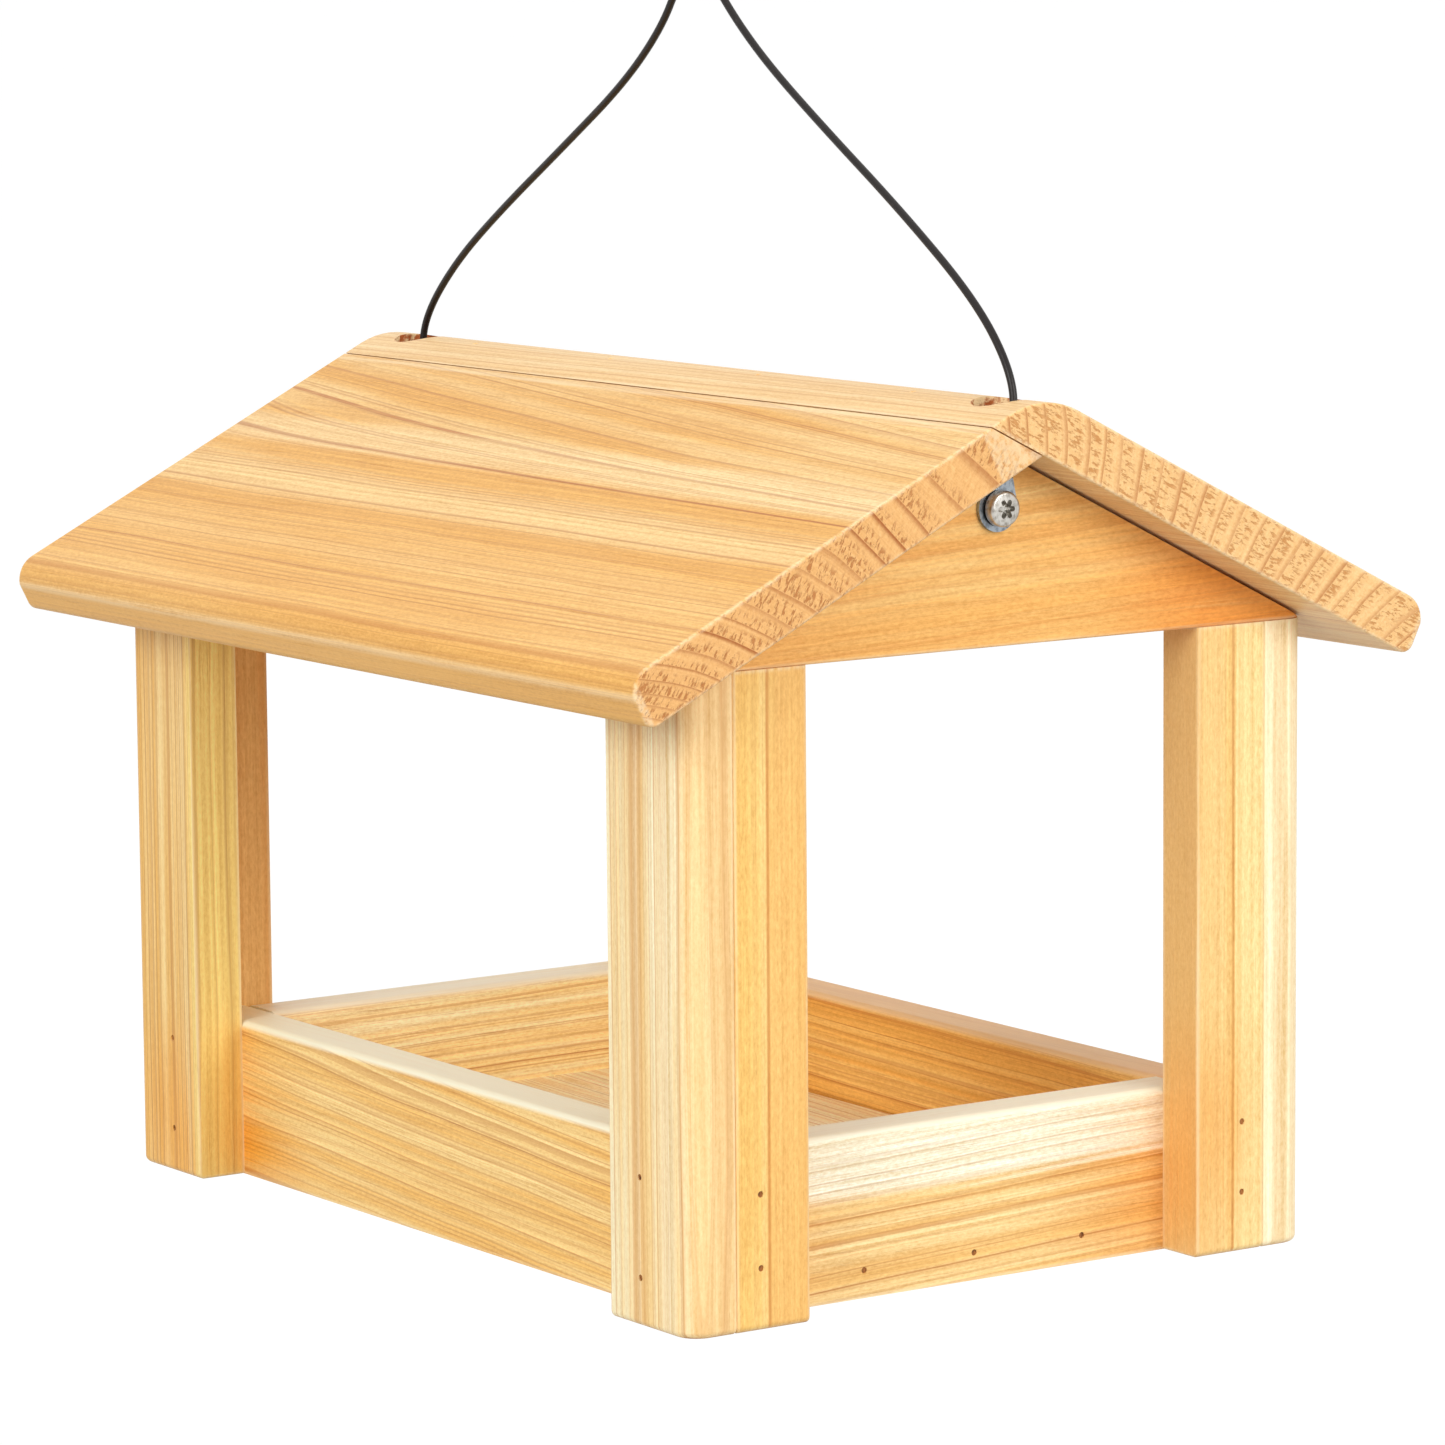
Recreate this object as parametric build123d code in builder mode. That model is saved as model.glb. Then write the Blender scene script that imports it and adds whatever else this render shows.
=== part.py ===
from build123d import *
import os
from math import copysign, cos, pi, radians, sin, sqrt, tan

# A hanging fly-through bird feeder: a wooden tray on four L-shaped corner posts, two gable boards on
# the posts, a loose two-board gable roof, and one coated wire that passes through the roof and is
# held by a lug and a screw on each gable. Millimetres, +Z up, ridge along Y, origin at the bottom centre.

# Post frame
frame_width = 173.0
frame_length = 245.0
post_height = 146.0
stile_thick = 12.7
side_stile_width = 31.2
end_stile_width = 19.5
post_corner_radius = 6.0
foot_ease = 1.6

# Tray
wall_thick = 12.7
wall_height = 38.1
rim_ease = 1.8
floor_thick = 12.7
floor_count = 3
floor_gap = 0.8

# Gables and roof
gable_thick = 12.7
gable_gap = 0.8
roof_pitch = 26.57
roof_thick = 12.7
roof_length = 273.0
eave_overhang = 24.05
roof_seat = 0.1
crest_radius = 21.5
lap_gap = 0.35
eave_round_run = 6.2
eave_round_drop = 4.5
eave_under_radius = 3.0
edge_ease = 0.6

# Wire holes through the roof, just behind the outer faces of the gables
wire_hole = 12.7
hole_x = -1.0
hole_back = 1.0

# Brads
brad_diameter = 1.0
brad_head = 1.4
brad_head_height = 0.8
brad_length = 32.0
brad_tip = 2.0
brad_point = 0.4
brad_set = 0.3
brad_play = 0.03
side_brad_height = 11.0
side_brad_drop = 4.6
end_brad_height = 14.0
end_brad_drop = 7.6
floor_brad_shift = 9.8
gable_brad_inset = 4.5
gable_brad_set = 1.6
ridge_brad_cover = 1.5
ridge_brad_places = (-92.0, -31.0, 31.0, 92.0)

# Screw and lug that hold the wire on each gable
screw_x = -3.0
screw_drop = 11.48
screw_diameter = 4.0
screw_length = 12.5
screw_tip = 3.0
screw_point = 1.0
screw_play = 0.05
head_diameter = 8.1
head_height = 2.6
head_edge = 2.3
head_shoulder = 0.9
recess_span = 4.6
recess_slot = 1.2
recess_slots = 3
recess_depth = 1.5
recess_taper = 12.0
lug_radius = 5.3
lug_thick = 1.0
lug_play = 0.3
lug_slack = 0.6
lug_tilt = 12.0
barrel_diameter = 3.2
barrel_gap = 1.7
barrel_length = 7.5
barrel_clear = 0.2
barrel_web = 1.0

# Hanger wire, from the rear lug over the hanging point to the front lug
wire_diameter = 1.8
wire_play = 0.05
wire_turn_share = 0.45
wire_route = [
    (-1.09, 124.3, 186.0),
    (1.036, 124.3, 196.0),
    (1.5, 122.7, 206.2),
    (1.5, 107.9, 220.2),
    (1.5, 87.1, 233.7),
    (1.5, 58.4, 250.3),
    (1.5, 31.2, 266.4),
    (1.5, 14.9, 279.9),
    (1.5, 7.45, 290.7),
    (1.5, 1.0, 293.5),
    (1.5, -5.9, 292.6),
    (1.5, -15.4, 283.0),
    (1.5, -29.3, 272.2),
    (1.5, -50.6, 258.8),
    (1.5, -81.6, 240.4),
    (1.5, -109.4, 221.8),
    (1.5, -122.5, 206.9),
    (1.036, -124.3, 196.0),
    (-1.09, -124.3, 186.0),
]

# Places worked out from the driving dimensions
half_width = frame_width / 2
half_length = frame_length / 2
wall_x = half_width - stile_thick
wall_y = half_length - stile_thick
wall_mid_x = wall_x - wall_thick / 2
wall_mid_y = wall_y - wall_thick / 2
inside_x = wall_x - wall_thick
inside_y = wall_y - wall_thick
pitch = radians(roof_pitch)
under_ridge = post_height + half_width * tan(pitch) + roof_seat / cos(pitch)
top_ridge = under_ridge + roof_thick / cos(pitch)
gable_peak = under_ridge - gable_gap / cos(pitch)
lap_x = roof_thick / (2 * sin(pitch))
lap_z = top_ridge - lap_x * tan(pitch)
crest_x = crest_radius * sin(pitch)
crest_z = top_ridge - crest_x * tan(pitch)
roof_slope = (half_width + eave_overhang) / cos(pitch)
hole_y = half_length - hole_back
screw_z = gable_peak - screw_drop
head_stand = lug_thick + lug_slack
barrel_start = lug_radius + barrel_gap
barrel_stand = barrel_diameter / 2 + barrel_clear
floor_board_width = (2 * inside_x - (floor_count + 1) * floor_gap) / floor_count
floor_step = floor_board_width + floor_gap
floor_middles = [(number - (floor_count - 1) / 2) * floor_step for number in range(floor_count)]

sides = (("left", -1), ("right", 1))
ends = (("front", -1), ("rear", 1))

standing = (Align.CENTER, Align.CENTER, Align.MIN)
hanging = (Align.CENTER, Align.CENTER, Align.MAX)

os.makedirs("parts", exist_ok=True)


def outward(x, y, z, direction):
    return Plane(origin=(x, y, z), z_dir=direction).location


# Each brad has its head outwards; a cutter is the same shape with room round it and an open mouth.
def brads(places, length, play=0.0, mouth=0.0):
    shank = length - brad_head_height - brad_tip
    with BuildPart() as group:
        with Locations(*[place * Location((0, 0, mouth)) for place in places]):
            Cylinder(brad_head / 2 + play, brad_head_height + mouth, align=hanging)
        with Locations(*[place * Location((0, 0, -brad_head_height)) for place in places]):
            Cylinder(brad_diameter / 2 + play, shank, align=hanging)
        with Locations(*[place * Location((0, 0, -brad_head_height - shank)) for place in places]):
            Cone(brad_point / 2 + play, brad_diameter / 2 + play, brad_tip + play, align=hanging)
    return group.part


def brad_cutter(places, length):
    return brads(places, length, brad_play, 2 * (brad_set + gable_brad_set))


# Where the brads go
side_places = []
end_places = []
floor_places = []
gable_places = []
for end, y_side in ends:
    for side, x_side in sides:
        for height in (side_brad_height, wall_height - side_brad_drop):
            head_x = x_side * (half_width - brad_set)
            side_places.append(outward(head_x, y_side * wall_mid_y, height, (x_side, 0, 0)))
        for height in (end_brad_height, wall_height - end_brad_drop):
            head_y = y_side * (half_length - brad_set)
            end_places.append(outward(x_side * wall_mid_x, head_y, height, (0, y_side, 0)))
        for inset in (gable_brad_inset, end_stile_width - gable_brad_inset):
            x = wall_x - inset
            head_z = gable_peak - x * tan(pitch) - gable_brad_set
            y = y_side * (half_length - gable_thick / 2)
            gable_places.append(outward(x_side * x, y, head_z, (0, 0, 1)))
    for middle in floor_middles:
        x = middle if abs(middle) < floor_gap else middle - copysign(floor_brad_shift, middle)
        floor_places.append(outward(x, y_side * (wall_y - brad_set), floor_thick / 2, (0, y_side, 0)))

# The ridge brads stand square to the right board, through the middle of the lap
crest_centre_z = crest_z - crest_radius * cos(pitch)
lap_mid_x = -lap_x / 2
lap_mid_z = (lap_z + under_ridge) / 2
lap_rise = lap_mid_z - crest_centre_z
along = lap_mid_x * sin(pitch) + lap_rise * cos(pitch)
to_crest = -along + sqrt(along ** 2 - lap_mid_x ** 2 - lap_rise ** 2 + crest_radius ** 2)
ridge_head = to_crest - brad_set
ridge_brad_length = ridge_head + roof_thick / (2 * cos(2 * pitch)) - ridge_brad_cover
head_x = lap_mid_x + ridge_head * sin(pitch)
head_z = lap_mid_z + ridge_head * cos(pitch)
ridge_places = [outward(head_x, y, head_z, (sin(pitch), 0, cos(pitch))) for y in ridge_brad_places]

side_cutter = brad_cutter(side_places, brad_length)
end_cutter = brad_cutter(end_places, brad_length)
floor_cutter = brad_cutter(floor_places, brad_length)
gable_cutter = brad_cutter(gable_places, brad_length)
ridge_cutter = brad_cutter(ridge_places, ridge_brad_length)

# Side stiles: the eave-side half of each corner post, with the rounded outer corner
for end, y_side in ends:
    for side, x_side in sides:
        with BuildPart() as side_stile:
            middle_x = x_side * (half_width - stile_thick / 2)
            middle_y = y_side * (half_length - side_stile_width / 2)
            with Locations((middle_x, middle_y, 0)):
                Box(stile_thick, side_stile_width, post_height, align=standing)
            uprights = side_stile.edges().filter_by(Axis.Z)
            corner = uprights.sort_by(lambda e: x_side * e.center().X + y_side * e.center().Y)[-1]
            fillet(corner, post_corner_radius)
            foot = side_stile.faces().sort_by(Axis.Z)[0]
            outer_x = foot.edges().sort_by(lambda e: x_side * e.center().X)[-1]
            fillet(outer_x, foot_ease)
            uprights = side_stile.edges().filter_by(Axis.Z)
            seam = uprights.sort_by(lambda e: y_side * e.center().Y - x_side * e.center().X)[-1]
            inner = uprights.sort_by(lambda e: x_side * e.center().X - y_side * e.center().Y)[-1]
            fillet([seam, inner], edge_ease)
            add(side_cutter, mode=Mode.SUBTRACT)
        side_stile.part.label = f"{end}_{side}_side_stile"
        export_step(side_stile.part, f"parts/{end}_{side}_side_stile.step")

# End stiles: the gable-side half of each corner post, butted against the side stile
for end, y_side in ends:
    for side, x_side in sides:
        with BuildPart() as end_stile:
            middle_x = x_side * (wall_x - end_stile_width / 2)
            middle_y = y_side * (half_length - stile_thick / 2)
            with Locations((middle_x, middle_y, 0)):
                Box(end_stile_width, stile_thick, post_height, align=standing)
            foot = end_stile.faces().sort_by(Axis.Z)[0]
            outer_y = foot.edges().sort_by(lambda e: y_side * e.center().Y)[-1]
            fillet(outer_y, foot_ease)
            uprights = end_stile.edges().filter_by(Axis.Z)
            inner = uprights.sort_by(lambda e: x_side * e.center().X - y_side * e.center().Y)[0]
            seam = uprights.sort_by(lambda e: x_side * e.center().X + y_side * e.center().Y)[-1]
            fillet([inner, seam], edge_ease)
            add(end_cutter, mode=Mode.SUBTRACT)
            add(gable_cutter, mode=Mode.SUBTRACT)
        end_stile.part.label = f"{end}_{side}_end_stile"
        export_step(end_stile.part, f"parts/{end}_{side}_end_stile.step")

# Side walls of the tray run its full length between the end stiles
for side, x_side in sides:
    with BuildPart() as side_wall:
        with Locations((x_side * wall_mid_x, 0, 0)):
            Box(wall_thick, 2 * wall_y, wall_height, align=standing)
        fillet(side_wall.edges().filter_by(Axis.Y).group_by(Axis.Z)[-1], rim_ease)
        add(side_cutter, mode=Mode.SUBTRACT)
        add(end_cutter, mode=Mode.SUBTRACT)
    side_wall.part.label = f"{side}_tray_wall"
    export_step(side_wall.part, f"parts/{side}_tray_wall.step")

# End walls of the tray fit between the side walls
for end, y_side in ends:
    with BuildPart() as end_wall:
        with Locations((0, y_side * wall_mid_y, 0)):
            Box(2 * inside_x, wall_thick, wall_height, align=standing)
        fillet(end_wall.edges().filter_by(Axis.X).group_by(Axis.Z)[-1], rim_ease)
        add(side_cutter, mode=Mode.SUBTRACT)
        add(floor_cutter, mode=Mode.SUBTRACT)
    end_wall.part.label = f"{end}_tray_wall"
    export_step(end_wall.part, f"parts/{end}_tray_wall.step")

# Floor boards lie side by side with open joints that drain
for number, middle in enumerate(floor_middles, 1):
    with BuildPart() as floor_board:
        with Locations((middle, 0, 0)):
            Box(floor_board_width, 2 * inside_y, floor_thick, align=standing)
        fillet(floor_board.edges().filter_by(Axis.Y).group_by(Axis.Z)[-1], edge_ease)
        add(floor_cutter, mode=Mode.SUBTRACT)
    floor_board.part.label = f"floor_board_{number}"
    export_step(floor_board.part, f"parts/floor_board_{number}.step")

# Gable boards stand on the posts, flush with their outer faces
gable_half = (gable_peak - post_height) / tan(pitch)
for end, y_side in ends:
    gable_back = y_side * (half_length - gable_thick)
    with BuildPart() as gable:
        with BuildSketch(Plane(origin=(0, gable_back, 0), x_dir=(1, 0, 0), z_dir=(0, -1, 0))) as triangle:
            with BuildLine():
                Polyline((-gable_half, post_height), (gable_half, post_height), (0, gable_peak), close=True)
            make_face()
        extrude(amount=-y_side * gable_thick)
        with BuildSketch(Plane.XY.offset(post_height)) as outline:
            RectangleRounded(frame_width, frame_length, post_corner_radius)
        extrude(amount=gable_peak - post_height, mode=Mode.INTERSECT)
        lower = gable.edges().filter_by(Axis.X).sort_by(lambda e: y_side * e.center().Y)[-1]
        fillet(lower, edge_ease)
        add(gable_cutter, mode=Mode.SUBTRACT)
        with Locations(outward(screw_x, y_side * half_length, screw_z, (0, y_side, 0))):
            Hole(screw_diameter / 2 + screw_play, screw_length - head_stand + screw_play)
    gable.part.label = f"{end}_gable"
    export_step(gable.part, f"parts/{end}_gable.step")

# The roof is shaped as one chevron with a rounded crest and eased ends. The eaves are rounded over on
# top, down to a plain arris, and eased below.
run = Vector(cos(pitch), -sin(pitch))
inward = Vector(-sin(pitch), -cos(pitch))
top_eave = Vector(0, top_ridge) + run * roof_slope
round_start = top_eave - run * eave_round_run
arris = top_eave + inward * eave_round_drop
under_eave = top_eave + inward * roof_thick
roof_end = Plane(origin=(0, roof_length / 2, 0), x_dir=(1, 0, 0), z_dir=(0, -1, 0))
with BuildPart() as chevron:
    with BuildSketch(roof_end) as section:
        with BuildLine():
            crest = TangentArc((-crest_x, crest_z), (crest_x, crest_z), tangent=(cos(pitch), sin(pitch)))
            for x_side, crest_end in ((-1, crest @ 0), (1, crest @ 1)):
                slope = Line(crest_end, (x_side * round_start.X, round_start.Y))
                TangentArc(slope @ 1, (x_side * arris.X, arris.Y), tangent=slope % 1)
                Polyline(
                    (x_side * arris.X, arris.Y),
                    (x_side * under_eave.X, under_eave.Y),
                    (0, under_ridge),
                )
        make_face()
        fillet(section.vertices().group_by(Axis.Y)[0], eave_under_radius)
    extrude(amount=roof_length)
    fillet(chevron.faces().filter_by(Axis.Y).edges(), edge_ease)

# Roof boards: the right one laps over the top end of the left one and carries the crest
for side, keep, gap in (("left", Mode.INTERSECT, lap_gap), ("right", Mode.SUBTRACT, 0.0)):
    lap = Vector(0, under_ridge) + inward * gap
    with BuildPart() as roof_board:
        add(chevron.part)
        with BuildSketch(roof_end) as left_of_lap:
            with BuildLine():
                Polyline(
                    (lap.X, lap.Y),
                    (lap.X - 2 * lap_x, lap.Y + 2 * (lap_z - under_ridge)),
                    (-2 * top_eave.X, top_ridge),
                    (-2 * top_eave.X, 0),
                    (0, 0),
                    close=True,
                )
            make_face()
        extrude(amount=roof_length, mode=keep)
        with Locations((hole_x, hole_y, top_ridge), (hole_x, -hole_y, top_ridge)):
            Hole(wire_hole / 2)
        add(ridge_cutter, mode=Mode.SUBTRACT)
    roof_board.part.label = f"{side}_roof_board"
    export_step(roof_board.part, f"parts/{side}_roof_board.step")

# Lugs: a flat teardrop with a crimped barrel that the wire ends in
tilt = radians(lug_tilt)
for end, y_side in ends:
    face = Plane(
        origin=(screw_x, y_side * half_length, screw_z),
        x_dir=(-y_side * cos(tilt), 0, y_side * sin(tilt)),
        z_dir=(0, y_side, 0),
    )
    crimp = Plane(
        origin=face.from_local_coords((0, barrel_start, barrel_stand)),
        x_dir=(0, 1, 0),
        z_dir=(sin(tilt), 0, cos(tilt)),
    )
    with BuildPart() as lug:
        with BuildSketch(face) as teardrop:
            Circle(lug_radius)
            with Locations((0, barrel_start + barrel_length / 2)):
                Circle(barrel_web)
            make_hull()
            Circle(screw_diameter / 2 + lug_play, mode=Mode.SUBTRACT)
        extrude(amount=lug_thick)
        with BuildSketch(crimp) as sleeve:
            Circle(barrel_diameter / 2)
        extrude(amount=barrel_length)
        with BuildSketch(crimp.offset(barrel_length)) as bore:
            Circle(wire_diameter / 2 + wire_play)
        extrude(amount=-barrel_length + barrel_web, mode=Mode.SUBTRACT)
    lug.part.label = f"{end}_wire_lug"
    export_step(lug.part, f"parts/{end}_wire_lug.step")

# Pan-head screws with a six-lobed recess, standing a little proud so that the lug can turn
for end, y_side in ends:
    head_y = y_side * (half_length + head_stand)
    seat = Plane(origin=(screw_x, head_y, screw_z), x_dir=(1, 0, 0), z_dir=(0, y_side, 0))
    with BuildPart() as screw:
        with BuildSketch(Plane(origin=seat.origin, x_dir=(1, 0, 0), z_dir=(0, 0, y_side))) as half:
            with BuildLine():
                head = Polyline((0, 0), (head_diameter / 2, 0), (head_diameter / 2, head_edge))
                crown = TangentArc((0, head_height), head @ 1, tangent=(1, 0))
                Line(crown @ 0, head @ 0)
            make_face()
            fillet(half.vertices().sort_by(lambda v: v.X + v.Y)[-1], head_shoulder)
        revolve(axis=Axis(seat.origin, (0, y_side, 0)))
        with BuildSketch(seat):
            Circle(screw_diameter / 2)
        extrude(amount=-(screw_length - screw_tip))
        with BuildSketch(seat.offset(-(screw_length - screw_tip))):
            Circle(screw_diameter / 2)
        with BuildSketch(seat.offset(-screw_length)):
            Circle(screw_point / 2)
        loft()
        with BuildSketch(seat.offset(head_height)):
            with PolarLocations(0, recess_slots, angular_range=180):
                SlotOverall(recess_span, recess_slot)
        extrude(amount=-recess_depth, taper=recess_taper, mode=Mode.SUBTRACT)
    screw.part.label = f"{end}_lug_screw"
    export_step(screw.part, f"parts/{end}_lug_screw.step")

# Brads, one node for each job
brad_jobs = {
    "side_stile_brads": (side_places, brad_length),
    "end_stile_brads": (end_places, brad_length),
    "floor_brads": (floor_places, brad_length),
    "gable_brads": (gable_places, brad_length),
    "ridge_brads": (ridge_places, ridge_brad_length),
}
for job, (places, length) in brad_jobs.items():
    group = brads(places, length)
    group.label = job
    export_step(group, f"parts/{job}.step")

# Hanger wire: one tube along straight runs joined by tangent arcs
points = [Vector(*point) for point in wire_route]
radii = []
for before, here, after in zip(points, points[1:], points[2:]):
    turn = radians((here - before).get_angle(after - here))
    shorter = min((here - before).length, (after - here).length)
    radii.append(wire_turn_share * shorter / tan(turn / 2))
with BuildPart() as wire:
    with BuildLine() as route:
        FilletPolyline(*points, radius=radii)
    with BuildSketch(Plane(origin=route.line @ 0, z_dir=route.line % 0)):
        Circle(wire_diameter / 2)
    sweep()
wire.part.label = "hanger_wire"
export_step(wire.part, "parts/hanger_wire.step")
wire_length = sum(edge.length for edge in route.edges())
section_area = pi * wire_diameter ** 2 / 4
print("wire length", round(wire_length, 1), "radii", [round(r, 1) for r in radii])
print("wire volume", round(wire.part.volume, 1), "section times length", round(section_area * wire_length, 1))
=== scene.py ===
import math

import bpy
from mathutils import Matrix, Vector


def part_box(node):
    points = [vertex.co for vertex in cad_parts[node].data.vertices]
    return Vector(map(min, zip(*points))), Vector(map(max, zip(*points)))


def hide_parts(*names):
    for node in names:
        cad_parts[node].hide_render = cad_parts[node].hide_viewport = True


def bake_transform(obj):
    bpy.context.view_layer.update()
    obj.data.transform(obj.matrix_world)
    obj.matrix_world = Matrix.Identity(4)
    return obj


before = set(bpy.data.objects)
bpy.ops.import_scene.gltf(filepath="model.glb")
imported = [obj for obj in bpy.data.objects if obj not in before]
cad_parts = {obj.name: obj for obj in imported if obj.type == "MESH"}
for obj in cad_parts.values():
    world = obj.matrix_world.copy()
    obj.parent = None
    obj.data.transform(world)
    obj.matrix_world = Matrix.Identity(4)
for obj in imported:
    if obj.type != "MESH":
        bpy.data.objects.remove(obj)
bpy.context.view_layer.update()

scene = bpy.context.scene

# camera, fitted to the photo's edges
cameraView = {
    "eye": (-0.842535, -1.242866, 0.320607),
    "azimuth": -34.3602,
    "elevation": 7.7757,
    "roll": -0.4633,
    "lens": 158.467,
    "sensor": 36.0,
}


def placeCamera(view):
    turn, rise, roll = (math.radians(view[key]) for key in ("azimuth", "elevation", "roll"))
    back = Vector((math.sin(turn) * math.cos(rise), -math.cos(turn) * math.cos(rise), math.sin(rise)))
    right = Vector((0, 0, 1)).cross(back).normalized()
    up = back.cross(right)
    side = right * math.cos(roll) + up * math.sin(roll)
    top = up * math.cos(roll) - right * math.sin(roll)
    lens = bpy.data.cameras.new("photoCamera")
    lens.lens, lens.sensor_width = view["lens"], view["sensor"]
    camera = bpy.data.objects.new("photoCamera", lens)
    scene.collection.objects.link(camera)
    camera.matrix_world = Matrix.Translation(view["eye"]) @ Matrix((side, top, back)).transposed().to_4x4()
    scene.camera = camera


placeCamera(cameraView)
print("camera placed")


def tint(red, green, blue):  # colour as a picture shows it, made linear
    def linear(part):
        part /= 255
        return part / 12.92 if part <= 0.04045 else ((part + 0.055) / 1.055) ** 2.4
    return (linear(red), linear(green), linear(blue), 1.0)


class Link:  # a socket that takes plain arithmetic
    def __init__(self, sheet, plug):
        self.sheet, self.plug = sheet, plug

    def join(self, kind, first, second=0.0):
        return self.sheet.node("ShaderNodeMath", {"operation": kind}, {0: first, 1: second})

    def __add__(self, other):
        return self.join("ADD", self, other)

    def __radd__(self, other):
        return self.join("ADD", other, self)

    def __sub__(self, other):
        return self.join("SUBTRACT", self, other)

    def __rsub__(self, other):
        return self.join("SUBTRACT", other, self)

    def __mul__(self, other):
        return self.join("MULTIPLY", self, other)

    def __rmul__(self, other):
        return self.join("MULTIPLY", other, self)

    def __truediv__(self, other):
        return self.join("DIVIDE", self, other)

    def __rtruediv__(self, other):
        return self.join("DIVIDE", other, self)

    def __pow__(self, other):
        return self.join("POWER", self, other)

    def __rpow__(self, other):
        return self.join("POWER", other, self)

    def __abs__(self):
        return self.join("ABSOLUTE", self)


class Sheet:  # one node tree
    def __init__(self, tree):
        self.tree = tree
        tree.nodes.clear()

    def node(self, kind, settings, values, out=0):
        made = self.tree.nodes.new(kind)
        for key, value in settings.items():
            setattr(made, key, value)
        for key, value in values.items():
            if isinstance(value, Link):
                self.tree.links.new(value.plug, made.inputs[key])
            else:
                made.inputs[key].default_value = value
        if out is None:
            return made
        if isinstance(out, tuple):
            return tuple(Link(self, made.outputs[key]) for key in out)
        return Link(self, made.outputs[out])

    def ease(self, value, low, high):  # 0 below low, 1 above high
        return self.node("ShaderNodeMapRange", {"interpolation_type": "SMOOTHSTEP"},
                         {"Value": value, "From Min": low, "From Max": high})

    def mix(self, share, first, second):
        return self.node("ShaderNodeMix", {"data_type": "RGBA"}, {0: share, 6: first, 7: second}, 2)

    def stretch(self, vector, by, shift=(0, 0, 0)):
        return self.node("ShaderNodeVectorMath", {"operation": "MULTIPLY_ADD"}, {0: vector, 1: by, 2: shift})

    def noise(self, vector, detail=2.0, rough=0.5):
        return self.node("ShaderNodeTexNoise", {},
                         {"Vector": vector, "Scale": 1.0, "Detail": detail, "Roughness": rough}, "Fac")

    def wave(self, value, detail, rough=0.5):  # noise along one number
        return self.node("ShaderNodeTexNoise", {"noise_dimensions": "1D"},
                         {"W": value, "Scale": 1.0, "Detail": detail, "Roughness": rough}, "Fac")

    def deepen(self, colour, depth):  # darker fibres are also redder
        return self.node("ShaderNodeVectorMath", {"operation": "MULTIPLY"},
                         {0: colour, 1: self.stretch(depth, (0.6, 1.0, 1.6), (1, 1, 1))})

    def distance(self, vector, place):
        return self.node("ShaderNodeVectorMath", {"operation": "DISTANCE"}, {0: vector, 1: place}, "Value")

    def bump(self, strength, distance, height):
        return self.node("ShaderNodeBump", {}, {"Strength": strength, "Distance": distance, "Height": height})

    def finish(self, settings):
        skin = self.node("ShaderNodeBsdfPrincipled", {}, settings)
        self.node("ShaderNodeOutputMaterial", {}, {"Surface": skin}, None)


def newSheet(name):
    material = bpy.data.materials.new(name)
    material.use_nodes = True
    return material, Sheet(material.node_tree)


def dress(node, material):  # a CAD node takes a material
    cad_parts[node].material_slots[0].material = material


# wire: repeats the route of the CAD tube, in metres
wire = {
    "diameter": 0.0018,
    "length": 0.3441,
    "sides": 16,
    "points": [
        (-0.00109, 0.1243, 0.186), (0.001036, 0.1243, 0.196), (0.0015, 0.1227, 0.2062),
        (0.0015, 0.1079, 0.2202), (0.0015, 0.0871, 0.2337), (0.0015, 0.0584, 0.2503),
        (0.0015, 0.0312, 0.2664), (0.0015, 0.0149, 0.2799), (0.0015, 0.00745, 0.2907),
        (0.0015, 0.001, 0.2935), (0.0015, -0.0059, 0.2926), (0.0015, -0.0154, 0.283),
        (0.0015, -0.0293, 0.2722), (0.0015, -0.0506, 0.2588), (0.0015, -0.0816, 0.2404),
        (0.0015, -0.1094, 0.2218), (0.0015, -0.1225, 0.2069), (0.001036, -0.1243, 0.196),
        (-0.00109, -0.1243, 0.186),
    ],
    "bendFrom": (0.0, 0.0, 0.1915),  # just above the lug barrels
    "bendTo": (0.0, 0.0, 0.1995),  # in the roof holes
    "coating": tint(26, 20, 18),
    "rub": tint(64, 57, 54),
}


def wireCoating():
    material, sheet = newSheet("wireCoating")
    spot = sheet.node("ShaderNodeTexCoord", {}, {}, "Object")
    ripple = sheet.noise(sheet.stretch(spot, (420, 420, 420)), 3.0)
    scuff = sheet.ease(sheet.noise(sheet.stretch(spot, (900, 160, 160), (3, 7, 1)), 4.0, 0.6), 0.56, 0.74)
    colour = sheet.mix(scuff * 0.45, wire["coating"], wire["rub"])
    bump = sheet.bump(0.35, 0.0002, ripple - 0.4 * scuff)
    sheet.finish({"Base Color": colour, "Roughness": 0.3 + 0.16 * ripple + 0.18 * scuff, "Normal": bump,
                  "Specular IOR Level": 0.3, "Coat Weight": 0.06, "Coat Roughness": 0.12})
    return material


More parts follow.
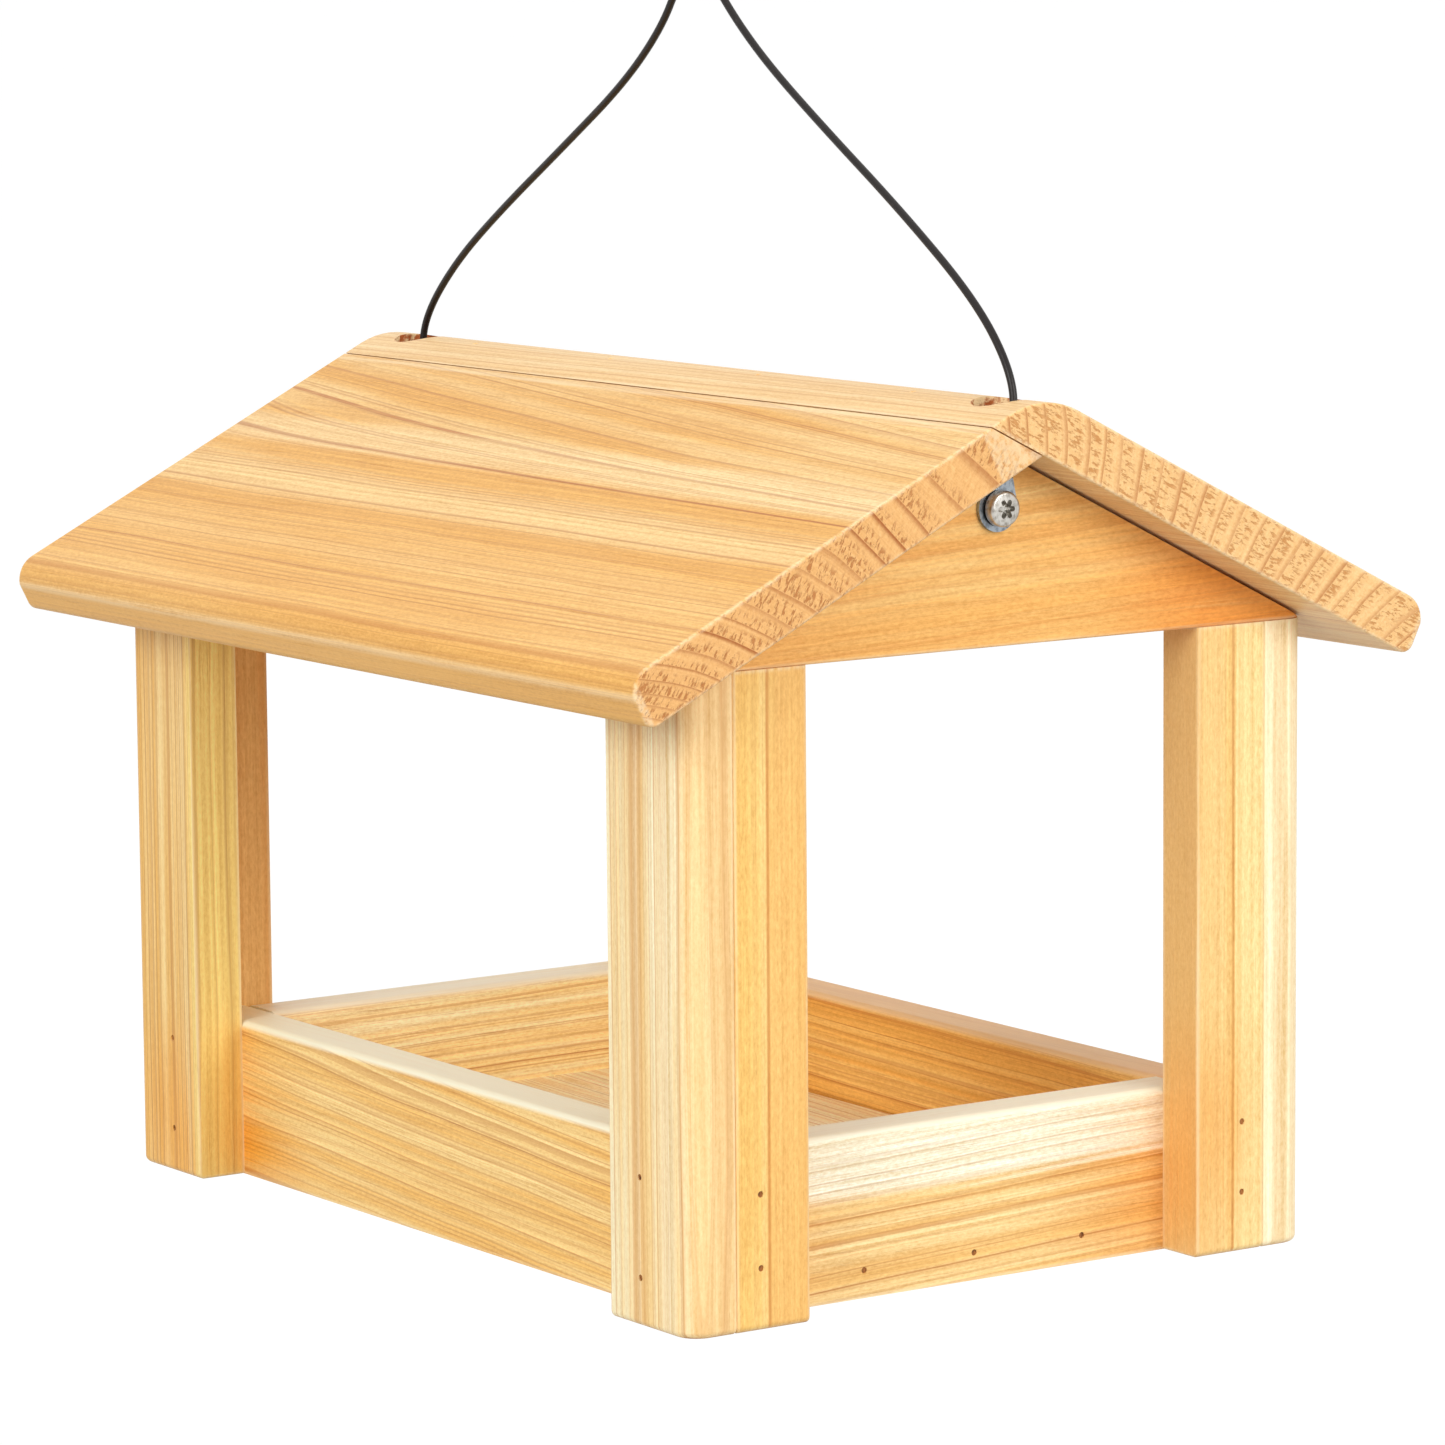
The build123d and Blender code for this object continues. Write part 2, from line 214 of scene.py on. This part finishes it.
def tubeTree(material):  # sweeps a round section along the spline it is given
    tree = bpy.data.node_groups.new("wireTube", "GeometryNodeTree")
    face = tree.interface
    face.new_socket("Geometry", in_out="OUTPUT", socket_type="NodeSocketGeometry")
    face.new_socket("Geometry", in_out="INPUT", socket_type="NodeSocketGeometry")
    radius = face.new_socket("Wire Radius", in_out="INPUT", socket_type="NodeSocketFloat")
    sides = face.new_socket("Section Sides", in_out="INPUT", socket_type="NodeSocketInt")
    sheet = Sheet(tree)
    line, wide, count = sheet.node("NodeGroupInput", {}, {}, (0, 1, 2))
    ring = sheet.node("GeometryNodeCurvePrimitiveCircle", {"mode": "RADIUS"},
                      {"Resolution": count, "Radius": wide})
    tube = sheet.node("GeometryNodeCurveToMesh", {},
                      {"Curve": line, "Profile Curve": ring, "Fill Caps": True})
    smooth = sheet.node("GeometryNodeSetShadeSmooth", {}, {"Geometry": tube})
    whole = sheet.node("GeometryNodeRealizeInstances", {}, {"Geometry": smooth})
    coated = sheet.node("GeometryNodeSetMaterial", {}, {"Geometry": whole, "Material": material})
    sheet.node("NodeGroupOutput", {}, {0: coated}, None)
    return tree, radius.identifier, sides.identifier


def makeWire():
    line = bpy.data.curves.new("wireLine", "CURVE")
    line.dimensions, line.resolution_u = "3D", 16
    spline = line.splines.new("NURBS")
    spline.points.add(len(wire["points"]) - 1)
    for point, place in zip(spline.points, wire["points"]):
        point.co = (*place, 1.0)
    spline.order_u, spline.use_endpoint_u = 3, True
    carrier = bpy.data.objects.new("wireLine", line)
    scene.collection.objects.link(carrier)
    bpy.context.view_layer.update()
    bare = bpy.data.meshes.new_from_object(carrier.evaluated_get(bpy.context.evaluated_depsgraph_get()))
    path = [tuple(vertex.co) for vertex in bare.vertices]
    tree, radius, sides = tubeTree(wireCoating())
    modifier = carrier.modifiers.new("wireTube", "NODES")
    modifier.node_group = tree
    modifier[radius], modifier[sides] = wire["diameter"] / 2, wire["sides"]
    bpy.context.view_layer.update()
    mesh = bpy.data.meshes.new_from_object(carrier.evaluated_get(bpy.context.evaluated_depsgraph_get()))
    mesh.name = "hangerWire"
    carrier.modifiers.clear()
    bpy.data.objects.remove(carrier)
    piece = bpy.data.objects.new("hangerWire", mesh)
    scene.collection.objects.link(piece)
    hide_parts("hanger_wire")
    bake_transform(piece)
    return len(mesh.vertices), len(path)


print("wire made: vertices, path points", makeWire())


# wood: rings round a pith beside the board, cut by its faces, in millimetres of the board
clouds = {  # rates along, across and through the board, turn of the seed, detail, roughness
    "drift": ((0.006, 0.03, 0.03), 0, 2.0, 0.5),
    "fibre": ((0.014, 0.8, 0.8), 0, 4.0, 0.7),
    "broad": ((0.006, 0.04, 0.04), 2, 2.0, 0.5),
    "tooth": ((0.7, 1.7, 1.7), 0, 3.0, 0.7),
    "fleck": ((0.05, 1.7, 1.7), 1, 2.0, 0.6),
    "blot": ((0.45, 1.3, 1.3), 1, 3.0, 0.6),
    "singe": ((0.3, 0.3, 0.3), 1, 2.0, 0.5),
}


class Board:  # the patterns of one board and the colours made from them
    def __init__(self, sheet, middle, grain, across, look):
        self.sheet, self.look = sheet, look
        self.spot, facing = sheet.node("ShaderNodeTexCoord", {}, {}, ("Object", "Normal"))
        turn = Matrix((grain, across, grain.cross(across))).transposed().to_euler()
        self.local = sheet.node("ShaderNodeMapping", {"vector_type": "TEXTURE"},
                                {"Vector": self.spot, "Location": middle, "Rotation": turn,
                                 "Scale": (0.001, 0.001, 0.001)})
        self.x, self.y, self.z = sheet.node("ShaderNodeSeparateXYZ", {}, {"Vector": self.local},
                                            ("X", "Y", "Z"))
        square = sheet.node("ShaderNodeVectorMath", {"operation": "DOT_PRODUCT"},
                            {0: facing, 1: grain}, "Value")
        self.sawn = sheet.ease(abs(square), 0.55, 0.92)
        self.drift = self.cloud("drift") - 0.5
        self.fibre, self.broad, self.tooth = self.cloud("fibre"), self.cloud("broad"), self.cloud("tooth")
        self.fleck = sheet.ease(self.cloud("fleck"), 0.57, 0.72)
        self.broken = sheet.ease(self.fibre + 0.3 * (self.tooth - 0.5), 0.28, 0.58)
        self.layRings()

    def cloud(self, key):
        rates, turn, detail, rough = clouds[key]
        seed = self.look["seed"]
        shift = (seed * 13.7, seed * 5.3, seed * 9.1)
        place = self.sheet.stretch(self.local, rates, shift[turn:] + shift[:turn])
        return self.sheet.noise(place, detail, rough)

    def layRings(self):
        sheet, look, x, y, z = self.sheet, self.look, self.x, self.y, self.z
        pithY, pithZ = look["pith"]
        pithReach = math.hypot(pithY, pithZ)
        side = y - pithY - look["slant"][0] * x
        deep = z - pithZ - look["slant"][1] * x
        self.around = side * (pithZ / pithReach) - deep * (pithY / pithReach)
        reach = (side * side + deep * deep) ** 0.5 + (look["lean"] + look["fan"] * y) * z
        reach = reach + self.drift * look["wobble"]
        if "splay" in look:  # lines that run off askew along one edge
            askew, low, high = look["splay"]
            reach = reach + askew * x * sheet.ease(y, low, high)
        away = reach - pithReach
        if look["widen"]:  # rings that get wider away from the pith
            steps = sheet.node("ShaderNodeMath", {"operation": "LOGARITHM"},
                               {0: 1 + away * (look["widen"] / look["spacing"]), 1: math.e}) / look["widen"]
        else:
            steps = away / look["spacing"]
        seed = look["seed"]
        phase = steps + (sheet.wave(steps * 0.45 + seed, 1.0) - 0.5) * look["uneven"] + 40  # kept above zero
        ring = sheet.node("ShaderNodeMath", {"operation": "FLOOR"}, {0: phase})
        self.reach = reach
        self.age = sheet.node("ShaderNodeMath", {"operation": "FRACT"}, {0: phase})
        self.share = sheet.node("ShaderNodeTexWhiteNoise", {"noise_dimensions": "1D"},
                                {"W": ring + seed}, "Value")
        self.hair = sheet.wave(reach * look["hair"] + seed * 3.1, 4.0, 0.7)
        dark = sheet.ease(self.age, 0.80, 0.975) ** 2 * (1 - sheet.ease(self.age, 0.97, 1.0))
        self.line = dark * (0.2 + 0.8 * self.share) * (0.35 + 0.65 * self.broken)

    def faces(self):  # planed faces: thin ring lines, with pencil lines between them
        sheet, look, y, age, seed = self.sheet, self.look, self.y, self.age, self.look["seed"]
        soft = sheet.ease(age, 0.05, 0.98) * (1 - sheet.ease(age, 0.98, 1.0)) * (0.2 + 0.8 * self.share)
        stripe = sheet.wave(self.reach * look["stripe"] + seed * 1.9, 1.0)
        trace = abs(sheet.wave(self.reach * look["pencilRate"] + seed * 2.3, 0.0) - 0.5)
        gather = sheet.ease(sheet.wave(self.reach * 0.23 + seed * 4.7, 1.0), 0.36, 0.62)
        pencil = (1 - sheet.ease(trace, 0.01, 0.065)) * gather * (0.25 + 0.75 * self.broken)
        tone = sheet.ease(0.5 * self.broad + 0.5 * stripe + 0.25 * (self.hair - 0.5), 0.38, 0.62)
        colour = sheet.mix(tone, look["pale"], look["gold"])
        colour = sheet.mix(soft * look["soft"], colour, look["gold"])
        toneAndLightBands = []
        edge = y + self.drift * 6 + (self.hair - 0.5) * 5
        for low, high, bandTint, strength in look.get("toneAndLightBands", ()):  # paler or deeper bands along the grain: tone in the wood, and on some boards painted light on a lit face
            band = sheet.ease(edge, low - 2, low + 2) * (1 - sheet.ease(edge, high - 2, high + 2))
            toneAndLightBands.append((band * strength, bandTint))
            colour = sheet.mix(toneAndLightBands[-1][0], colour, bandTint)
        for place, size, stain, strength in look.get("stains", ()):  # soft patches of deeper colour
            patch = 1 - sheet.ease(sheet.distance(self.spot, place), size * 0.2, size)
            patch = patch * sheet.ease(self.broad + 0.6 * (self.fibre - 0.5), 0.2, 0.55)
            colour = sheet.mix(patch * strength, colour, stain)
        for mark, key in ((pencil, "pencil"), (self.line, "lineShare"), (self.fleck, "fleck")):
            colour = sheet.mix(mark * look[key], colour, look["line"])
        for band, bandTint in toneAndLightBands:  # lines show less in the bands
            colour = sheet.mix(band * 0.45, colour, bandTint)
        for place, width, strength in look.get("bold", ()):  # single lines that stand out
            gap = abs(y - place + self.drift * 1.2)
            drawn = (1 - sheet.ease(gap, 0.2 * width, width)) * (0.5 + 0.5 * self.broken)
            colour = sheet.mix(drawn * strength, colour, look["line"])
        depth = look["streak"] * (2.0 * (self.hair - 0.5) + 1.6 * (self.fibre - 0.5))
        depth = depth + look["speck"] * (self.tooth - 0.5)
        depth = depth + look["mottle"] * (self.cloud("blot") - 0.5) * (1 - 0.7 * age)
        return sheet.deepen(colour, depth)

    def ends(self):  # sawn ends: deeper colour, ring lines, torn pits drawn out from the pith
        sheet, look, age = self.sheet, self.look, self.age
        tear = sheet.node("ShaderNodeCombineXYZ", {},
                          {"X": self.x * 0.3 + look["seed"], "Y": self.reach * 0.42, "Z": self.around * 1.5})
        self.torn = sheet.noise(tear, 3.0, 0.65)
        self.pits = sheet.ease(self.torn, 0.49, 0.61) * sheet.ease(self.broad + 0.5 * (0.6 - age), 0.35, 0.6)
        endLine = sheet.ease(age, 0.66, 0.97) ** 2 * (1 - sheet.ease(age, 0.97, 1.0))
        endLine = endLine * (0.5 + 0.5 * self.share)
        colour = sheet.mix(endLine, look["endPale"], look["endLine"])
        colour = sheet.mix(self.pits * (1 - endLine) * 0.8, colour, look["endPit"])
        depth = 0.6 * (self.torn - 0.5) + 0.5 * (self.tooth - 0.5) + 0.4 * (self.hair - 0.5)
        return sheet.deepen(colour, depth)

    def edges(self, colour, half):  # what handling and tools left along the edges, and painted light and shade on the eave's arris and the tray walls' top edge
        sheet, look, y, z = self.sheet, self.look, self.y, self.z
        gaps = [size - abs(axis) for size, axis in zip(half, (self.x, y, z))]
        nearer, further = (gaps[0].join(kind, gaps[0], gaps[1]) for kind in ("MINIMUM", "MAXIMUM"))
        second = nearer.join("MAXIMUM", nearer, further.join("MINIMUM", further, gaps[2]))
        wear = (1 - sheet.ease(second, 0.15, 1.1)) * sheet.ease(self.fibre, 0.3, 0.6)  # where two faces meet
        colour = sheet.mix(wear * look["wear"], colour, look["wornAndSheen"])
        if "arris" in look:  # the eave: a painted highlight along the arris, painted shade on the sawn face under it
            edgeY, edgeZ, arrisShadeTint = look["arris"]
            gap = ((y - edgeY) ** 2 + (z - edgeZ) ** 2) ** 0.5
            # painted shade on the eave face under the arris
            arrisShade = (1 - sheet.ease(y, edgeY + 0.05, edgeY + 0.3)) * (0.15 + 0.5 * self.broken)
            # painted highlight along the arris
            paintedLight = (1 - sheet.ease(gap, 0.3, 1.6)) * (0.1 + 0.3 * self.broken)
            colour = sheet.mix(paintedLight, sheet.mix(arrisShade, colour, arrisShadeTint), look["wornAndSheen"])
        for place, radius, burn in look.get("holes", ()):  # walls of the drilled holes
            gap = sheet.distance(sheet.stretch(self.spot, (1, 1, 0)), place)
            wall = 1 - sheet.ease(gap, radius, radius + 0.0003)
            singe = sheet.ease(self.cloud("singe") + 0.3 * (self.tooth - 0.5), 0.40, 0.56)
            colour = sheet.mix(wall, colour, sheet.mix(singe, look["pale"], burn))
        if "litRim" in look:  # painted light on the top edge of a tray wall, paler where light falls on it
            low, high, litRimTint, strength = look["litRim"]
            # painted light: the band along the top edge made paler
            paintedLight = sheet.ease(y, low, high) * (strength + 0.6 * (self.fibre - 0.5))
            colour = sheet.mix(paintedLight, colour, litRimTint)
        return colour

    def relief(self):
        height = 0.05 * self.line + 0.05 * (self.hair - 0.5) + 0.08 * (self.fibre - 0.5)
        height = height + 0.07 * (self.tooth - 0.5) - 0.06 * self.fleck
        height = height + self.sawn * (0.1 * self.torn - 0.12 * self.pits)
        return self.sheet.bump(0.8, 0.001, height)


def woodFinish(name, middle, grain, across, half, look):
    material, sheet = newSheet(name)
    board = Board(sheet, middle, Vector(grain), Vector(across), look)
    colour = board.edges(sheet.mix(board.sawn, board.faces(), board.ends()), half)
    rough = look["rough"] + 0.14 * (board.fibre - 0.5) + 0.10 * board.fleck
    rough = rough - 0.06 * board.line + 0.2 * board.sawn
    sheet.finish({"Base Color": colour, "Roughness": rough, "Normal": board.relief(), "IOR": 1.45})
    return material


baseLook = {
    "slant": (0.0, 0.0), "lean": 0.0, "fan": 0.0, "wobble": 4.0, "uneven": 0.9, "widen": 0.0,
    "lineShare": 0.85, "soft": 0.45, "hair": 0.9, "stripe": 0.22, "pencil": 0.6, "pencilRate": 0.5,
    "streak": 0.5, "speck": 0.75, "fleck": 0.15, "mottle": 0.2, "rough": 0.48,
    # worn: pale tint of worn edges, also the colour of the painted highlight on the eave's arris
    "wear": 0.5, "wornAndSheen": tint(255, 232, 190),
    "endPale": tint(240, 186, 118), "endLine": tint(180, 106, 46), "endPit": tint(178, 104, 42),
}


def squareBoard(node, grain, across, look):  # a board that lies along the axes
    low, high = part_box(node)
    size = high - low
    grain, across = Vector(grain), Vector(across)
    half = [abs(size.dot(axis)) * 500 for axis in (grain, across, grain.cross(across))]
    dress(node, woodFinish(node + "Wood", (low + high) / 2, grain, across, half, {**baseLook, **look}))


# roof: two boards that slope from the ridge, grain along it
roof = {
    "pitch": 26.57,
    "ridgeMiddle": 0.19647,  # height of the boards' middle plane at the ridge
    "halfLength": 136.5,
    "halfThick": 6.35,
    "holes": [((-0.001, end * 0.1215, 0.0), 0.00632, tint(170, 84, 26)) for end in (-1, 1)],
    "left_roof_board": {
        "side": -1, "middle": 0.060, "halfAcross": 52.0, "seed": 1.3,
        "pale": tint(243, 201, 134), "gold": tint(231, 172, 87), "line": tint(176, 96, 28),
        "toneAndLightBands": [(14.0, 26.0, tint(249, 216, 160), 0.5), (-60.0, -14.0, tint(235, 176, 90), 0.45)],
        # arris: place of the eave's arris and the tint of the painted shade under it
        "soft": 0.22, "arris": (-53.4, 1.85, tint(242, 184, 98)),
        "pith": (-98.0, -64.0), "spacing": 6.6, "widen": 0.106, "splay": (0.09, 2.0, 40.0), "wobble": 3.0,
        "pencilRate": 0.5, "pencil": 0.55, "stripe": 0.1, "streak": 0.42, "hair": 1.3,
        "endPale": tint(240, 184, 116), "endLine": tint(172, 98, 40), "endPit": tint(172, 98, 36),
    },
    "right_roof_board": {
        "side": 1, "middle": 0.048, "halfAcross": 66.0, "seed": 2.7,
        "pale": tint(247, 214, 161), "gold": tint(241, 200, 140), "line": tint(204, 138, 70),
        "pith": (-170.0, 0.0), "slant": (0.01, 0.0), "lean": 0.04, "fan": -0.0104, "spacing": 6.0,
        "lineShare": 0.6, "speck": 0.5, "streak": 0.35, "pencil": 0.4,
        "endPale": tint(248, 200, 136), "endLine": tint(186, 114, 52), "endPit": tint(192, 122, 54),
    },
}


def finishRoof():
    rise = math.radians(roof["pitch"])
    for node in ("left_roof_board", "right_roof_board"):
        board = roof[node]
        out = board["side"]
        middle = (out * board["middle"], 0, roof["ridgeMiddle"] - board["middle"] * math.tan(rise))
        across = (math.cos(rise), 0, -out * math.sin(rise))
        look = {**baseLook, "holes": roof["holes"], **board}
        half = (roof["halfLength"], board["halfAcross"], roof["halfThick"])
        dress(node, woodFinish(node + "Wood", middle, (0, -1, 0), across, half, look))


finishRoof()

# gables: warm boards with the grain level
gables = {
    "pale": tint(252, 204, 126), "gold": tint(244, 180, 94), "line": tint(206, 124, 48), "spacing": 9.0,
    "pith": (-70.0, 34.0), "slant": (0.06, 0.0), "lineShare": 0.4, "soft": 0.25, "mottle": 0.4,
    "streak": 0.34, "pencil": 0.25, "fleck": 0.12,
    "front_gable": {"seed": 3.9, "stains": [((0.070, -0.1225, 0.148), 0.055, tint(238, 144, 44), 0.8)]},
    "rear_gable": {"seed": 4.4, "pith": (-60.0, -30.0)},
}
for node in ("front_gable", "rear_gable"):
    squareBoard(node, (1, 0, 0), (0, 0, 1), {**gables, **gables[node]})

# corner posts: side stiles with close upright lines, end stiles with one bold line
posts = {
    "sideStile": {
        "pale": tint(255, 240, 196), "gold": tint(252, 214, 145), "line": tint(206, 134, 56),
        "pith": (-110.0, 40.0), "spacing": 4.4, "wobble": 3.0, "uneven": 1.4, "hair": 0.7, "streak": 0.46,
        "speck": 0.5, "lineShare": 0.6, "stripe": 0.3, "pencilRate": 0.55, "pencil": 0.5,
    },
    "endStile": {
        "pale": tint(253, 214, 136), "gold": tint(246, 196, 108), "line": tint(204, 124, 44),
        "lineShare": 0.3, "spacing": 9.7, "wobble": 1.5, "mottle": 0.7, "fleck": 0.1, "streak": 0.26,
        "speck": 0.6, "pencil": 0.15, "stripe": 0.15,
    },
    "pithAway": 120.0,
    "pithDeep": 4.0,
    "seeds": {"front_left": 5.1, "front_right": 6.2, "rear_left": 7.3, "rear_right": 8.4},
    "front_left_side_stile": {
        "toneAndLightBands": [(-9.0, -4.0, tint(255, 234, 190), 0.6), (-30.0, -13.0, tint(248, 206, 140), 0.8),
                  (2.0, 5.0, tint(226, 168, 92), 0.5)]},
    "front_left_end_stile": {"toneAndLightBands": [(0.0, 20.0, tint(245, 190, 108), 0.8)], "bold": [(-1.0, 0.7, 0.75)]},
    "front_right_end_stile": {
        "toneAndLightBands": [(1.0, 30.0, tint(254, 223, 154), 0.8), (-20.0, -1.0, tint(249, 206, 136), 0.6)],
        "stains": [((0.0543, -0.1160, 0.025), 0.04, tint(242, 160, 56), 0.7)], "bold": [(0.5, 0.6, 0.7)]},
    # the pale band along the front (-Y) edge is painted light, where the lamps fall on it
    "front_right_side_stile": {"toneAndLightBands": [(-30.0, -13.0, tint(255, 231, 184), 0.9)], "pencil": 0.25},
    "rear_left_side_stile": {
        "pale": tint(253, 219, 150), "gold": tint(240, 186, 96), "line": tint(176, 104, 34),
        "lineShare": 0.9, "pencil": 0.8,
        # the pale band along the front (-Y) edge is painted light on a face that lies in shade under the roof
        "toneAndLightBands": [(-30.0, -13.5, tint(255, 222, 130), 0.9)],
        "stains": [((-0.078, 0.0913, 0.012), 0.04, tint(243, 164, 52), 0.7)]},
    "rear_left_end_stile": {
        "pale": tint(246, 196, 120), "gold": tint(236, 174, 96), "bold": [(-1.0, 0.4, 0.6)]},
    "rear_right_end_stile": {"bold": [(0.8, 0.4, 0.6)]},
}
for corner, seed in posts["seeds"].items():
    sideNode, endNode = corner + "_side_stile", corner + "_end_stile"
    pith = (posts["pithAway"] if "right" in corner else -posts["pithAway"], posts["pithDeep"])
    squareBoard(sideNode, (0, 0, 1), (0, 1, 0),
                {**posts["sideStile"], "seed": seed, **posts.get(sideNode, {})})
    squareBoard(endNode, (0, 0, 1), (1, 0, 0),
                {**posts["endStile"], "seed": seed + 0.5, "pith": pith, **posts.get(endNode, {})})

# tray: four walls and the floor
tray = {
    "pale": tint(254, 216, 142), "gold": tint(246, 190, 100), "line": tint(192, 112, 36), "spacing": 3.8,
    "uneven": 1.5, "pith": (-64.0, 22.0), "slant": (0.02, 0.0), "fleck": 0.25,
    # the walls' top edge gets painted light: from, to, tint, strength
    "litRim": (17.2, 18.7, tint(255, 250, 226), 0.9),
    "left_tray_wall": {
        "seed": 9.2, "slant": (0.06, 0.0), "wobble": 7.0,
        "stains": [((-0.0738, 0.108, 0.006), 0.06, tint(240, 158, 46), 1.0)],
        # painted light, palest on this wall's top edge
        "litRim": (17.0, 18.5, tint(255, 252, 224), 1.0)},
    "right_tray_wall": {
        "seed": 10.6, "pale": tint(252, 204, 118), "gold": tint(242, 178, 82), "line": tint(196, 108, 28),
        "litRim": (17.2, 18.7, tint(252, 216, 166), 0.8)},
    "front_tray_wall": {
        "seed": 11.8, "pale": tint(254, 217, 150), "gold": tint(246, 194, 114), "slant": (0.04, 0.0),
        # the near-white band on the upper part of the wall is a painted highlight
        "toneAndLightBands": [(5.0, 40.0, tint(255, 245, 214), 0.95)],
        "stains": [((0.060, -0.1098, 0.012), 0.05, tint(236, 156, 64), 0.6)]},
    "rear_tray_wall": {
        # colours made paler than the wood: painted light on the inside of the tray
        "seed": 12.3, "fleck": 0.35, "pale": tint(255, 242, 192), "gold": tint(254, 222, 152)},
}
for node, grain in (("left_tray_wall", (0, 1, 0)), ("right_tray_wall", (0, 1, 0)),
                    ("front_tray_wall", (1, 0, 0)), ("rear_tray_wall", (1, 0, 0))):
    squareBoard(node, grain, (0, 0, 1), {**tray, **tray[node]})
# floor boards: colours made paler than the wood, painted light inside the tray
floorBoards = {
    "pale": tint(255, 248, 212), "gold": tint(255, 232, 184), "line": tint(206, 132, 62), "spacing": 4.4,
    "pith": (-30.0, -26.0), "slant": (0.03, 0.02), "wobble": 5.0, "fleck": 0.25,
}
for number in (1, 2, 3):
    squareBoard(f"floor_board_{number}", (0, 1, 0), (1, 0, 0), {**floorBoards, "seed": 13.0 + number})
print("wood finished: roof, gables, posts, tray, floor")

# metal: plain steel screws, zinc lugs, dull brads, filler over the ridge brads
metal = {
    "screwSteel": {"tint": tint(196, 193, 186), "dark": tint(146, 140, 130), "rough": 0.34, "metallic": 0.9},
    "lugZinc": {"tint": tint(160, 168, 175), "dark": tint(112, 120, 128), "rough": 0.28, "metallic": 1.0},
    "bradSteel": {"tint": tint(166, 108, 56), "dark": tint(104, 62, 30), "rough": 0.6, "metallic": 0.5},
    "woodFiller": {"tint": tint(246, 210, 156), "dark": tint(240, 200, 142), "rough": 0.6, "metallic": 0.0},
}


def metalFinish(name, look):
    material, sheet = newSheet(name)
    spot = sheet.node("ShaderNodeTexCoord", {}, {}, "Object")
    cloud = sheet.noise(sheet.stretch(spot, (650, 650, 650)), 3.0, 0.6)
    scratch = sheet.noise(sheet.stretch(spot, (4200, 900, 520)), 2.0, 0.6)
    colour = sheet.mix(sheet.ease(cloud + 0.5 * (scratch - 0.5), 0.42, 0.72), look["tint"], look["dark"])
    bump = sheet.bump(0.4, 0.0001, scratch + 0.6 * cloud)
    sheet.finish({"Base Color": colour, "Metallic": look["metallic"], "Normal": bump,
                  "Roughness": look["rough"] + 0.2 * (cloud - 0.4) + 0.1 * (scratch - 0.5)})
    return material


finishes = {name: metalFinish(name, look) for name, look in metal.items()}
for end in ("front", "rear"):
    dress(end + "_lug_screw", finishes["screwSteel"])
    dress(end + "_wire_lug", finishes["lugZinc"])
for node in ("side_stile_brads", "end_stile_brads", "floor_brads", "gable_brads"):
    dress(node, finishes["bradSteel"])
dress("ridge_brads", finishes["woodFiller"])
print("metal finished: screws, lugs, brads")

# studio: an even white room, the feeder hangs above the floor
studio = {
    "floorDrop": 0.22,
    "floorSize": 60.0,
    "floorShade": 0.4,
    "floorGlow": 0.7,
    "glowNear": 0.87,  # share of the glow under the feeder, where the lamps reach
    "glowEdge": (0.4, 1.3),
    "roomLight": 0.76,
    "lampAim": (0, 0, 0.1),
    "lamps": {
        "frontLamp": {"place": (0.45, -2.0, 0.9), "size": 1.2, "power": 19.5},
        "leftLamp": {"place": (-2.0, -0.8, 0.9), "size": 1.2, "power": 20.5},
        "topLamp": {"place": (-0.2, 0.2, 2.2), "size": 2.2, "power": 3.0},
    },
}


def shownRays(sheet):  # 1 for what is seen directly, mirrored or through glass
    seen, gloss, through = sheet.node("ShaderNodeLightPath", {}, {},
                                      ("Is Camera Ray", "Is Glossy Ray", "Is Transmission Ray"))
    return sheet.node("ShaderNodeMath", {"operation": "ADD", "use_clamp": True},
                      {0: seen + gloss, 1: through})


def buildStudio():
    world = bpy.data.worlds.new("studioRoom")
    world.use_nodes = True
    scene.world = world
    sheet = Sheet(world.node_tree)
    light = sheet.node("ShaderNodeBackground", {}, {"Color": (1, 1, 1, 1), "Strength": studio["roomLight"]})
    white = sheet.node("ShaderNodeBackground", {}, {"Color": (1, 1, 1, 1), "Strength": 1.0})
    both = sheet.node("ShaderNodeMixShader", {}, {0: shownRays(sheet), 1: light, 2: white})
    sheet.node("ShaderNodeOutputWorld", {}, {"Surface": both}, None)
    for name, lamp in studio["lamps"].items():
        data = bpy.data.lights.new(name, "AREA")
        data.shape, data.size, data.energy = "DISK", lamp["size"], lamp["power"]
        holder = bpy.data.objects.new(name, data)
        scene.collection.objects.link(holder)
        holder.location = lamp["place"]
        aim = Vector(studio["lampAim"]) - Vector(lamp["place"])
        holder.rotation_euler = aim.to_track_quat("-Z", "Y").to_euler()
    half = studio["floorSize"] / 2
    corners = ((-half, -half), (half, -half), (half, half), (-half, half))
    mesh = bpy.data.meshes.new("studioFloor")
    mesh.from_pydata([(x, y, -studio["floorDrop"]) for x, y in corners], [], [(0, 1, 2, 3)])
    floor = bpy.data.objects.new("studioFloor", mesh)
    scene.collection.objects.link(floor)
    material, sheet = newSheet("floorWhite")
    spot = sheet.node("ShaderNodeTexCoord", {}, {}, "Object")
    away = sheet.node("ShaderNodeVectorMath", {"operation": "LENGTH"}, {0: spot}, "Value")
    fill = studio["glowNear"] + (1 - studio["glowNear"]) * sheet.ease(away, *studio["glowEdge"])
    sheet.finish({"Base Color": (*[studio["floorShade"]] * 3, 1), "Roughness": 1.0, "Specular IOR Level": 0.0,
                  "Emission Color": shownRays(sheet) * fill, "Emission Strength": studio["floorGlow"]})
    mesh.materials.append(material)
    scene.view_settings.view_transform = "Standard"


buildStudio()
print("studio built")
